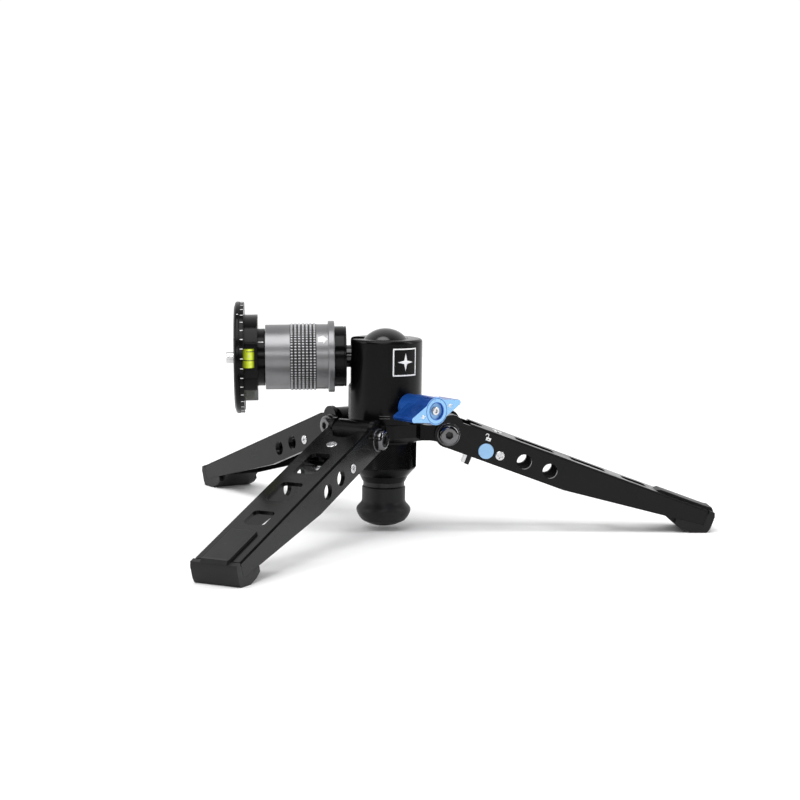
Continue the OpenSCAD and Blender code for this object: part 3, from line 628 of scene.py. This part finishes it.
def make_scale_ticks():
    """A tick every 10 degrees on the scale flange, and one index mark on the plate."""
    bm = bmesh.new()
    for k in range(36):
        place = head_frame(79.7) @ Matrix.Rotation(math.radians(10 * k + 4), 4, "X")
        wrapped(bm, bar(0, 0, 1.6, 0.45), 31.0 * MM, 0.03 * MM, place)
    new_piece("scale_ticks", mesh_of(bm, "scale_ticks"), "white", "ball")
    bm = bmesh.new()
    place = head_frame(82.0) @ Matrix.Rotation(math.radians(-35), 4, "X")
    wrapped(bm, bar(0, 0, 1.0, 0.5), 31.2 * MM, 0.03 * MM, place)
    new_piece("plate_index", mesh_of(bm, "plate_index"), "white", "pan_plate")


LEG_SLOPE = 19.7
# Distance of a leg channel's outer side face from the leg's middle
LEG_SIDE = 13.3


def leg_frame(n):
    """A leg's own axes: X along the leg, Z away from the floor, Y to its left."""
    pivot = Vector(JOINTS["leg_fold_" + n]["pos_m"])
    azimuth = math.atan2(pivot.y, pivot.x)
    return (Matrix.Translation(pivot) @ Matrix.Rotation(azimuth, 4, "Z")
            @ Matrix.Rotation(math.radians(LEG_SLOPE), 4, "Y"))


def plate_frame(n, x, z):
    """Axes on the outer face of a leg's button side: X along the leg, Y up, Z outwards."""
    return (leg_frame(n) @ Matrix.Translation((x * MM, -LEG_SIDE * MM, z * MM))
            @ Matrix.Rotation(math.radians(90), 4, "X"))


def make_lock_icon(n):
    """An open padlock, printed in white above the lock button."""
    place = plate_frame(n, 21.9, 5.6)
    ink = (-0.05 * MM, 0.04 * MM)
    bm = bmesh.new()
    body = [(x * MM, y * MM) for x, y in ((-1.4, -1.5), (1.4, -1.5), (1.4, 0.35), (-1.4, 0.35))]
    prism(bm, body, *ink, place)
    inner, outer, steps = 0.62, 1.05, 12
    centre = (-1.35, 1.35)
    arc = [math.radians(200 - 200 * i / steps) for i in range(steps + 1)]
    shackle = [((centre[0] + outer * math.cos(a)) * MM, (centre[1] + outer * math.sin(a)) * MM)
               for a in arc]
    shackle += [((centre[0] + outer) * MM, 0.3 * MM), ((centre[0] + inner) * MM, 0.3 * MM)]
    shackle += [((centre[0] + inner * math.cos(a)) * MM, (centre[1] + inner * math.sin(a)) * MM)
                for a in reversed(arc)]
    prism(bm, shackle, *ink, place)
    new_piece("lock_icon_" + n, mesh_of(bm, "lock_icon"), "white", "leg_" + n)
    bm = bmesh.new()
    hole = [(0.38 * MM * math.cos(math.radians(30 * k)),
             (-0.6 + 0.38 * math.sin(math.radians(30 * k))) * MM) for k in range(12)]
    prism(bm, hole, 0.0, 0.05 * MM, place)
    new_piece("lock_icon_keyhole_" + n, mesh_of(bm, "keyhole"), "mark", "leg_" + n)


def make_spring(node):
    """A copy of a CAD spring, which stands for the spring."""
    mesh = cad(node).data.copy()
    mesh.shade_smooth()
    piece = new_piece(node + "_coil", mesh, "steel", BODY_OF[node])
    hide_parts(node)
    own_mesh(piece)


def make_springs():
    make_spring("release_spring")
    for n in "123":
        make_spring("button_spring_" + n)


# ---------------------------------------------------------------- vials
def spindle(name, centre, axis, radius, half, look, body, sides=24):
    """A round-ended bar, such as a bubble, along an axis."""
    place = Matrix.Translation(centre) @ turned_to(axis)
    bm = bmesh.new()
    rings = []
    steps = 10
    for i in range(1, steps):
        t = math.pi * i / steps
        r = radius * math.sin(t) ** 0.6
        z = -half * math.cos(t)
        rings.append([place @ Vector((r * math.cos(2 * math.pi * k / sides),
                                      r * math.sin(2 * math.pi * k / sides), z))
                      for k in range(sides)])
    loft(bm, rings)
    new_piece(name, mesh_of(bm, name), look, body)


def vial_rings(name, node, axis, radius, spots):
    """Dark rings painted round a vial, at distances from its centre along its axis."""
    low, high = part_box(node)
    centre = (Vector(low) + Vector(high)) / 2
    bm = bmesh.new()
    sides, width = 32, 0.22
    for spot in spots:
        place = (Matrix.Translation(centre) @ turned_to(axis)
                 @ Matrix.Translation((0, 0, spot * MM)))
        ring(bm, place, radius - 0.15, radius + 0.04, -width, width, sides)
    new_piece(name, mesh_of(bm, name), "mark", "ball")


def make_vials():
    """Each vial's painted rings, and its bubble, which stands 0.1 mm proud so that it shows."""
    vial_r, ring_spots = 3.0, (-1.1, 3.8)
    bubble_r, bubble_half, bubble_out, bubble_along = 1.5, 2.2, 1.6, 1.4
    for node, axis, tag in (("vial_side", (0, 0, 1), "side"), ("vial_lower", (0, 1, 0), "lower")):
        low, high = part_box(node)
        centre = (Vector(low) + Vector(high)) / 2
        vial_rings("vial_rings_" + tag, node, axis, vial_r, ring_spots)
        outward = Vector((0, -1, 0)) if tag == "side" else Vector((0, 0, -1))
        along = Vector(axis) * bubble_along * MM
        spindle("vial_bubble_" + tag, centre + outward * bubble_out * MM + along, axis,
                bubble_r * MM, bubble_half * MM, "bubble", "ball")


make_grip_studs()
make_collar_knurl()
make_thread()
make_housing_mark()
make_engraved_lines()
make_knob_marks()
make_sleeve_arrow()
make_neck_line()
make_scale_ticks()
accent_knob_face()
for n in "123":
    make_lock_icon(n)
    shade_button_pin(n)
    shade_bolt_socket(n)
    make_lever_pad(n)
make_springs()
make_vials()


# ---------------------------------------------------------------- stage, lights and camera
def area_light(name, place, target, size, power):
    data = bpy.data.lights.new(name, "AREA")
    data.shape = "RECTANGLE"
    data.size, data.size_y = size
    data.energy = power
    lamp = bpy.data.objects.new(name, data)
    bpy.context.scene.collection.objects.link(lamp)
    lamp.location = place
    lamp.rotation_euler = (Vector(target) - Vector(place)).to_track_quat("-Z", "Y").to_euler()


def make_sun():
    """A wide overhead light that keeps the whole floor evenly white."""
    data = bpy.data.lights.new("overhead", "SUN")
    data.energy = 2.5
    data.angle = math.radians(50)
    lamp = bpy.data.objects.new("overhead", data)
    bpy.context.scene.collection.objects.link(lamp)
    lamp.rotation_euler = (math.radians(22), math.radians(-14), 0)


def make_floor():
    bm = bmesh.new()
    half = 3.0
    bmesh.ops.create_grid(bm, x_segments=1, y_segments=1, size=half)
    floor = bpy.data.objects.new("floor", mesh_of(bm, "floor"))
    bpy.context.scene.collection.objects.link(floor)
    s = Shader("floor_paper", (0.93, 0.93, 0.93), 0.75)
    s.bump(s.noise(60.0), 0.0001, 0.2)
    floor.data.materials.append(s.mat)


def make_world():
    """A white backdrop: the light that it gives is bright from behind and weak from in front."""
    world = bpy.data.worlds.new("studio")
    bpy.context.scene.world = world
    world.use_nodes = True
    nodes, links = world.node_tree.nodes, world.node_tree.links
    backdrop = nodes["Background"]
    backdrop.inputs["Strength"].default_value = 1.05
    backdrop.inputs["Color"].default_value = (1.0, 1.0, 1.0, 1.0)
    fill = nodes.new("ShaderNodeBackground")
    fill.inputs["Color"].default_value = (1.0, 1.0, 1.0, 1.0)
    direction = nodes.new("ShaderNodeSeparateXYZ")
    links.new(nodes.new("ShaderNodeTexCoord").outputs["Generated"], direction.inputs["Vector"])
    depth = nodes.new("ShaderNodeMapRange")
    for socket, value in (("From Min", -0.25), ("From Max", 0.5), ("To Min", 0.03),
                          ("To Max", 1.0)):
        depth.inputs[socket].default_value = value
    links.new(direction.outputs["Y"], depth.inputs["Value"])
    links.new(depth.outputs["Result"], fill.inputs["Strength"])
    mix = nodes.new("ShaderNodeMixShader")
    links.new(nodes.new("ShaderNodeLightPath").outputs["Is Camera Ray"], mix.inputs["Fac"])
    links.new(fill.outputs["Background"], mix.inputs[1])
    links.new(backdrop.outputs["Background"], mix.inputs[2])
    links.new(mix.outputs["Shader"], nodes["World Output"].inputs["Surface"])


CAMERA_LENS = 98.37
CAMERA_PLACE = (-0.05004, -1.21738, 0.2197)
CAMERA_TURN = (83.141, -0.8304, -2.6533)


def make_camera():
    """The photograph's own view, solved from the legs' contacts with the floor."""
    data = bpy.data.cameras.new("camera")
    data.lens = CAMERA_LENS
    data.sensor_width = 36.0
    camera = bpy.data.objects.new("camera", data)
    bpy.context.scene.collection.objects.link(camera)
    camera.location = CAMERA_PLACE
    camera.rotation_euler = [math.radians(angle) for angle in CAMERA_TURN]
    bpy.context.scene.camera = camera


make_floor()
make_world()
make_camera()
make_sun()
area_light("front_box", (-0.3, -1.5, 0.62), (0, 0, 0.08), (0.9, 0.25), 4.5)
area_light("left_strip", (-1.1, -0.2, 0.5), (0, 0, 0.08), (0.3, 0.9), 4)
area_light("right_strip", (1.0, -0.1, 0.6), (0, 0, 0.08), (0.25, 0.9), 5)
bpy.context.scene.view_settings.view_transform = "Standard"
